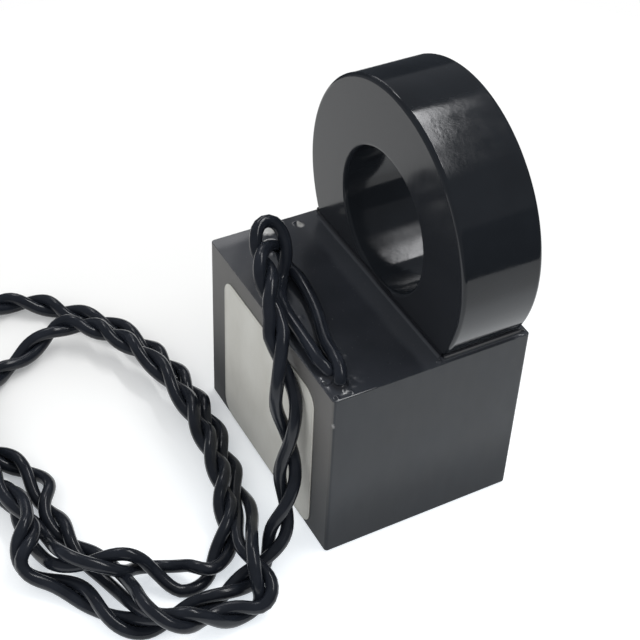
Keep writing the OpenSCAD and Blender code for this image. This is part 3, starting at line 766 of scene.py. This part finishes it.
# For each side of a cell: the neighbour's place in the padded grid and the two corners
CELL_SIDES = ((1, 0, 0, 1), (2, 1, 1, 2), (1, 2, 2, 3), (0, 1, 3, 0))


def closed_field(x, y, z, keep):
    """Points and faces of a height field with an underside; keep says which cells stay."""
    rows, columns = x.shape
    index = np.arange(rows * columns).reshape(rows, columns)
    under = index + rows * columns
    points = np.concatenate([
        np.stack([x, y, z], axis=2).reshape(-1, 3),
        np.stack([x, y, np.full_like(z, UNDERSIDE)], axis=2).reshape(-1, 3),
    ])
    padded = np.pad(keep, 1)
    faces = []
    for i, j in np.argwhere(keep):
        ring = [(i, j), (i + 1, j), (i + 1, j + 1), (i, j + 1)]
        faces.append([index[c] for c in ring])
        faces.append([under[c] for c in ring[::-1]])
        for di, dj, a, b in CELL_SIDES:
            if not padded[i + di, j + dj]:
                faces.append([index[ring[b]], index[ring[a]], under[ring[a]], under[ring[b]]])
    used = np.unique(np.concatenate([np.array(face) for face in faces]))
    renumber = np.full(len(points), -1)
    renumber[used] = np.arange(len(used))
    return points[used], [tuple(int(renumber[k]) for k in face) for face in faces]


middle_x = (grid_x[:-1, :-1] + grid_x[1:, 1:]) / 2
middle_y = (grid_y[:-1, :-1] + grid_y[1:, 1:]) / 2
in_ring = (middle_x > RING_X[0]) & (middle_x < RING_X[1]) & (np.abs(middle_y) < RING_Y)
resin_points, resin_faces = closed_field(grid_x, grid_y, grid_z, ~in_ring)
print("cells in the ring's foot", in_ring.sum())

# %% [markdown]
# ## Gloss of the resin
# Set resin is nearly black and nearly a mirror, so most of what is seen of it is reflection.
# One glossy black would look like lacquer. Here slow clouds change the tint and the gloss, and
# dust sits in it. From a little before the ring's front face onward the resin is paler, a
# painted reflection. Where it stands above its level, mostly where it has crept up the ring and
# the wires, it is darker with painted shade. At the far rim two pale spots are painted
# highlights, glints on two beads. A shallow slope, given by a bump, tilts the far corner
# towards a brighter part of the room.

# %% Finish of the resin
# Edges of the painted reflection along x and of the painted shade in height
PAINTED_REFLECTION_X, PAINTED_SHADE_Z = (-3.8 * MM, -2.5 * MM), (28.75 * MM, 29.1 * MM)
SLOPE_X, SLOPE_Y, SLOPE_DEPTH = (-9 * MM, -2 * MM), (15.2 * MM, 19.5 * MM), 0.25 * MM
# Place and size of each painted glint
PAINTED_GLINTS = ((-1.75, 15.75, 29.0, 0.7), (-6.5, 16.4, 28.9, 1.2))


def resin_gloss():
    finish = Finish("cast resin")
    x, y, z = (finish.axis(finish.place(), name) for name in "XYZ")
    cloud = finish.noise(5 * MM, 3)
    dust = finish.step(finish.noise(0.3 * MM, 2, 0.7), 0.7, 0.76)
    swell = finish.noise(3.5 * MM, 2)
    tint = finish.ramp(cloud, (0.3, (0.021, 0.024, 0.03)), (0.7, (0.026, 0.029, 0.036)))
    # painted reflection: the resin is paler from a little before the ring's front face onward
    foot = x - RING_X[0] * MM + 1.5 * MM * (cloud - 0.5)
    tint = finish.mix(finish.step(foot, *PAINTED_REFLECTION_X), tint, rgb(0.04, 0.044, 0.052))
    # painted shade: the resin is darker where it stands above its level, mostly on its climb up
    # the ring and the wires
    tint = finish.mix(finish.step(z, *PAINTED_SHADE_Z), tint, rgb(0.01, 0.011, 0.014))
    tint = finish.mix(0.6 * dust, tint, rgb(0.05, 0.05, 0.05))
    # painted highlights: two pale spots on the beads at the far rim stand in for glints
    painted_glints = [chip_and_glint_spot(finish, at, size * MM, 0.1) for *at, size in PAINTED_GLINTS]
    slope = (1 - finish.step(y, *SLOPE_Y)) * (1 - finish.step(x, *SLOPE_X))
    return finish.surface(
        Base_Color=finish.mix(painted_glints[0] + painted_glints[1], tint, rgb(0.52, 0.52, 0.51)),
        Roughness=0.12 + 0.12 * cloud + 0.25 * dust,
        Normal=finish.bump(swell, 0.012 * MM, finish.bump(slope, SLOPE_DEPTH)),
    )


resin_finish = resin_gloss()
add_piece("resin_skin", resin_points * MM, resin_faces, resin_finish)

# %% [markdown]
# ## The ring
# The case of the ring is moulded with a higher polish than the box. A turned profile could
# stand for it, but its solids already have the right shape, so they keep their mesh and get
# a finish. The flat faces are a little duller, carry fine upright rubs from handling and are
# paler, a painted reflection streaked by the rubs. The round wall has a slight orange peel.

# %% Finish of the ring
def ring_plastic():
    finish, tint, rough, normal = moulded_plastic(
        "polished ring", (0.0095, 0.0112, 0.014), 0.06, 0.005 * MM, (1, 1, 0.12)
    )
    streak = finish.noise(0.6 * MM, 2, 0.5, (1, 1, 0.07))
    across = finish.axis(finish.node("ShaderNodeNewGeometry", output="Normal"), "X")
    face = finish.step(across * across, 0.5, 0.9)
    return finish.surface(
        # the flat faces are paler: a painted reflection, streaked by the rubs
        Base_Color=finish.mix(face * (0.7 + 0.6 * streak), tint, rgb(0.018, 0.02, 0.024)),
        Roughness=rough + 0.05 * face,
        Specular_IOR_Level=0.31,
        Normal=finish.bump(streak, 0.003 * MM, normal),
    )


def dress(finish, *nodes):
    """Gives a finish to nodes of the CAD model."""
    for name in nodes:
        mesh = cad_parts[name].data
        mesh.materials.clear()
        mesh.materials.append(finish)
    print(finish.name, "on", ", ".join(nodes))


dress(ring_plastic(), "ring_case", "ring_cover")
dress(resin_finish, "potting_resin")
dress(wire_finish, "wire_tail_first", "wire_tail_second")

# %% [markdown]
# ## Label
# A bare film label covers most of the end wall. It is a thin sheet with round corners and a
# soft edge, and it is never quite flat on the plastic. A plane would have no edge to catch
# the light, so rounded rectangles are carried from the wall round the edge to the middle.

# %% Label film
LABEL_R, LABEL_INNER_R, LABEL_EDGE = 2.5, 0.3, 0.05
WEAR = 0.9 * MM
# Distance from the edge and how far the film lies back there
FILM_SAG = ((0.3, 0), (0.9, 0.015), (3, 0.03), (8, 0.02))
label_low, label_high = (np.array(corner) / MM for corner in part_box("label"))


def film():
    finish = Finish("label film")
    fibre = finish.noise(0.5 * MM, 4, 0.6)
    stain = finish.noise(7 * MM, 3, 0.6, (1, 1, 0.6))
    paper = finish.ramp(stain, (0.3, (0.6, 0.595, 0.55)), (0.7, (0.69, 0.69, 0.65)))
    middle = (label_low + label_high) / 2 * MM
    reach = (label_high - label_low) / 2 * MM
    y, z = (
        ((finish.axis(finish.place(), name) - middle[k]) ** 2) ** 0.5 - (reach[k] - WEAR)
        for name, k in (("Y", 1), ("Z", 2))
    )
    worn = finish.step(y, 0, WEAR) + finish.step(z, 0, WEAR)
    return finish.surface(
        Base_Color=finish.mix(worn * fibre * 0.5, paper, rgb(0.3, 0.29, 0.26)),
        Roughness=0.42 + 0.2 * fibre,
        Normal=finish.bump(fibre, 0.006 * MM, finish.bump(stain, 0.06 * MM)),
    )


def label_loops():
    """Rounded rectangles from the wall, round the soft edge and in to the middle."""
    thick = label_high[0] - label_low[0]
    reach = (label_high - label_low)[1:] / 2
    middle = (label_low + label_high)[1:] / 2
    rows = [(0, 0), (0, thick - LABEL_EDGE)]
    rows += [
        (LABEL_EDGE * (1 - math.cos(t)), thick - LABEL_EDGE * (1 - math.sin(t)))
        for t in np.radians([30, 60, 90])
    ]
    rows += [(inset, thick - sag) for inset, sag in FILM_SAG]
    loops = []
    for inset, out in rows:
        flat = frame_loop(reach - inset, max(LABEL_R - inset, LABEL_INNER_R), out)
        x = label_high[0] - flat[:, 2]
        upright = np.stack([x, middle[0] - flat[:, 0], middle[1] + flat[:, 1]], axis=1)
        loops.append(upright * MM)
    return loops


points, faces = skin(label_loops())
label = add_piece("label_film", points, faces, film())
even_normals(label)
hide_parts("label")

# %% [markdown]
# ## Parts cast inside
# The core, its winding and the small circuit board lie inside the resin. They are only seen
# when the model is taken apart. One grey for all would be quick, yet each gets a finish of
# its own: two shades, a grain at the right scale, a roughness and, for metal, its shine.

# %% Finishes of the inner parts
EVEN = (1, 1, 1)
# Finish: nodes, dark and light shade, grain in millimetres, roughness, metal, stretch
INNER = {
    "wound steel": (
        ("toroid_core",), (0.34, 0.35, 0.37), (0.5, 0.51, 0.53), 0.6, 0.3, 1, (1, 6, 6),
    ),
    "enamelled copper": (
        ("secondary_winding", "winding_lead_start", "winding_lead_finish"),
        (0.42, 0.14, 0.05), (0.72, 0.34, 0.15), 0.5, 0.22, 1, EVEN,
    ),
    "polyester tape": (
        ("winding_tape",), (0.55, 0.36, 0.05), (0.74, 0.52, 0.1), 2.5, 0.3, 0, EVEN,
    ),
    "green board": (
        ("circuit_board",), (0.02, 0.11, 0.04), (0.05, 0.18, 0.07), 0.8, 0.35, 0, (4, 4, 1),
    ),
    "solder": (
        ("solder_joints",), (0.5, 0.51, 0.53), (0.7, 0.7, 0.72), 0.5, 0.28, 1, EVEN,
    ),
    "moulded body": (
        ("bridge_rectifier", "switching_transistor", "clamp_diode"),
        (0.012, 0.012, 0.013), (0.03, 0.03, 0.032), 0.3, 0.5, 0, EVEN,
    ),
    "shrink sleeve": (
        ("reservoir_capacitor",),
        (0.012, 0.02, 0.07), (0.03, 0.05, 0.13), 3, 0.25, 0, (1, 1, 0.3),
    ),
    "blue dip": (
        ("surge_absorber",), (0.02, 0.08, 0.3), (0.06, 0.17, 0.46), 1.5, 0.4, 0, EVEN,
    ),
    "amber dip": (
        ("timing_capacitor",), (0.4, 0.17, 0.02), (0.56, 0.32, 0.06), 1.5, 0.3, 0, EVEN,
    ),
    "lacquered body": (
        ("gate_resistor", "burden_resistor"),
        (0.45, 0.34, 0.18), (0.6, 0.5, 0.3), 1, 0.4, 0, EVEN,
    ),
}

for name, (nodes, dark, light, size, rough, metal, stretch) in INNER.items():
    finish = Finish(name)
    cloud = finish.noise(size * MM, 4, 0.55, stretch)
    dress(
        finish.surface(
            Base_Color=finish.ramp(cloud, (0.3, dark), (0.7, light)),
            Metallic=float(metal),
            Roughness=rough - 0.08 + 0.16 * cloud,
            Normal=finish.bump(cloud, 0.01 * size * MM),
        ),
        *nodes,
    )

# %% [markdown]
# ## Table
# A pale round mat stands for the table. A plain white plane would come out grey, because the
# lamps light the part at a plain level. The mat is lit, so it keeps the shadow, and a little
# light of its own brings it up to white for the camera and in reflections. The band in front
# of the box, which the near wall mirrors, glows most, and the back, near the lamps, least.

# %% Mat
MAT_R, MAT_SIDES = 0.14, 128
NEAR_Y, BACK_Y = (-0.062, -0.045), (-0.03, 0.04)
NEAR_GLOW, BAND_GLOW = rgb(0.36, 0.38, 0.4), rgb(0.58, 0.62, 0.66)
BACK_GLOW = rgb(0.17, 0.175, 0.18)


def seen_rays(finish):
    """1 for what the camera sees, also in mirrors and through glass."""
    rays = ["Is Camera Ray", "Is Glossy Ray", "Is Transmission Ray"]
    kinds = [finish.node("ShaderNodeLightPath", output=ray) for ray in rays]
    return finish.step(kinds[0] + kinds[1] + kinds[2], 0, 1)


def mat_finish():
    finish = Finish("pale mat")
    lit = finish.node("ShaderNodeBsdfDiffuse", None, {"Color": rgb(0.8, 0.8, 0.79)})
    y = finish.axis(finish.place(), "Y")
    shade = finish.mix(finish.step(y, *NEAR_Y), NEAR_GLOW, BAND_GLOW)
    shade = finish.mix(finish.step(y, *BACK_Y), shade, BACK_GLOW)
    sockets = {"Color": shade, "Strength": seen_rays(finish)}
    glow = finish.node("ShaderNodeEmission", None, sockets)
    both = finish.node("ShaderNodeAddShader", None, {0: lit, 1: glow})
    finish.node("ShaderNodeOutputMaterial", None, {"Surface": both})
    return finish.owner


turns = np.linspace(0, 2 * math.pi, MAT_SIDES, endpoint=False)
mat_edge = [(MAT_R * math.cos(a), MAT_R * math.sin(a), 0) for a in turns]
mat_mesh = bpy.data.meshes.new("mat")
mat_mesh.from_pydata(mat_edge, [], [tuple(range(MAT_SIDES))])
mat_mesh.shade_smooth()
mat_mesh.materials.append(mat_finish())
mat = bpy.data.objects.new("mat", mat_mesh)
bpy.context.scene.collection.objects.link(mat)
print("mat", round(2 * MAT_R / MM), "mm across")

# %% [markdown]
# ## What the polish mirrors
# A black, polished part shows its shape by what it mirrors. More lamps could draw those
# highlights, but they would also light the table. So a dome that only reflections see gives
# the part dark walls, a grey ceiling, a paler side, three round cards and a narrow window
# with a sill, as a photographer would set them up.

# %% Dome
DOME_R, DOME_SEGMENTS, DOME_RINGS = 1.2, 64, 32
CEILING_Z, SIDE_X = (0.28, 0.34), (-0.5, -0.1)
WALL_SHADE, CEILING_SHADE = rgb(0.05, 0.056, 0.066), rgb(0.23, 0.24, 0.26)
SIDE_SHADE, WINDOW_SHADE = rgb(0.22, 0.23, 0.25), rgb(19, 19, 19.3)
# Direction, inner and outer edge in degrees, and level of each card
CARDS = (
    ((0.241, 0.729, 0.64), 5, 8, 1.4), ((0.273, 0.84, 0.47), 6, 9, 2.2),
    ((0.05, 0.65, 0.758), 4, 7, 9),
)
# Soft edges of the window, on a dome of radius 1
PANE_X, PANE_Y = ((0.4255, 0.4335), (0.4535, 0.4615)), ((-0.5, -0.3), (0.36, 0.41))
SILL_X, SILL_Y = ((0.455, 0.46), (0.462, 0.485)), ((0.2, 0.29), (0.33, 0.39))
CLEAR_X, CLEAR_Y, HORIZON = (0.444, 0.45), (-0.2, 0.1), (0, 0.1)


def card(finish, at, toward, inner, outer):
    """1 within a round card on the dome, 0 outside it."""
    settings, sockets = {"operation": "DOT_PRODUCT"}, {0: at, 1: tuple(Vector(toward) / DOME_R)}
    facing = finish.node("ShaderNodeVectorMath", settings, sockets, output="Value")
    return finish.step(facing, *(math.cos(math.radians(edge)) for edge in (outer, inner)))


def band(finish, value, rise, fall):
    """1 between two soft edges, 0 beyond them."""
    return finish.step(value, *rise) * (1 - finish.step(value, *fall))


def window(finish, x, y, height):
    """A narrow pane, clearer to one side and towards one end, and a weaker sill."""
    pane = band(finish, x, *PANE_X) * band(finish, y, *PANE_Y)
    pane = pane * (0.62 + 0.38 * finish.step(x, *CLEAR_X))
    pane = pane * (0.3 + 0.7 * finish.step(y, *CLEAR_Y))
    sill = 0.3 * band(finish, x, *SILL_X) * band(finish, y, *SILL_Y)
    return finish.step(height, *HORIZON) * (pane + sill)


def dome_finish():
    finish = Finish("studio walls")
    at = finish.place()
    x, y, height = (finish.axis(at, name) / DOME_R for name in "XYZ")
    light = finish.mix(finish.step(height, *CEILING_Z), WALL_SHADE, CEILING_SHADE)
    light = finish.mix(1 - finish.step(x, *SIDE_X), light, SIDE_SHADE)
    for toward, inner, outer, level in CARDS:
        share = card(finish, at, toward, inner, outer)
        light = finish.mix(share, light, rgb(level, level, 1.02 * level))
    light = finish.mix(window(finish, x, y, height), light, WINDOW_SHADE)
    glow = finish.node("ShaderNodeEmission", None, {"Color": light})
    finish.node("ShaderNodeOutputMaterial", None, {"Surface": glow})
    return finish.owner


bpy.ops.mesh.primitive_uv_sphere_add(
    segments=DOME_SEGMENTS, ring_count=DOME_RINGS, radius=DOME_R
)
dome = bpy.context.object
dome.name = "dome"
dome.data.materials.append(dome_finish())
dome.visible_camera = False
dome.visible_diffuse = False
dome.visible_shadow = False
dome.visible_transmission = False
print("dome with", len(CARDS), "cards and a window")

# %% [markdown]
# ## Lamps and room
# A narrow soft box, hung above the far side and facing down, is the main light, and a fill
# aimed at the part opens the shade on the label's wall. A sun lamp would draw hard shadows.
# Reflections don't see the fill, where it would be a white square. The white room lights all
# sides evenly and is at full white only for the camera and in mirrors, so the background is
# white without more light on the part.

# %% Lamps and room
# Name, place, size, power and whether it is aimed at the part and kept out of reflections
LAMPS = (
    ("soft box", (0.18, 0, 0.5), (0.04, 0.42), 0.95, False),
    ("fill", (-0.35, -0.1, 0.3), (0.3, 0.3), 0.3, True),
)
ROOM_LIGHT = 0.75

for name, at, size, power, aimed in LAMPS:
    lamp = bpy.data.lights.new(name, "AREA")
    lamp.shape = "RECTANGLE"
    lamp.size, lamp.size_y = size
    lamp.energy = power
    placed = bpy.data.objects.new(name, lamp)
    aim = Vector(at).to_track_quat("Z", "Y") if aimed else Matrix().to_quaternion()
    placed.matrix_world = Matrix.Translation(at) @ aim.to_matrix().to_4x4()
    placed.visible_glossy = not aimed
    bpy.context.scene.collection.objects.link(placed)
    print(name, power, "W")

world = bpy.data.worlds.new("room")
bpy.context.scene.world = world
room = Finish("room", world)
level = ROOM_LIGHT + (1 - ROOM_LIGHT) * seen_rays(room)
glow = room.node("ShaderNodeBackground", None, {"Color": rgb(1, 1, 1), "Strength": level})
room.node("ShaderNodeOutputWorld", None, {"Surface": glow})
bpy.context.scene.view_settings.view_transform = "Standard"
print("room", ROOM_LIGHT, "of white")
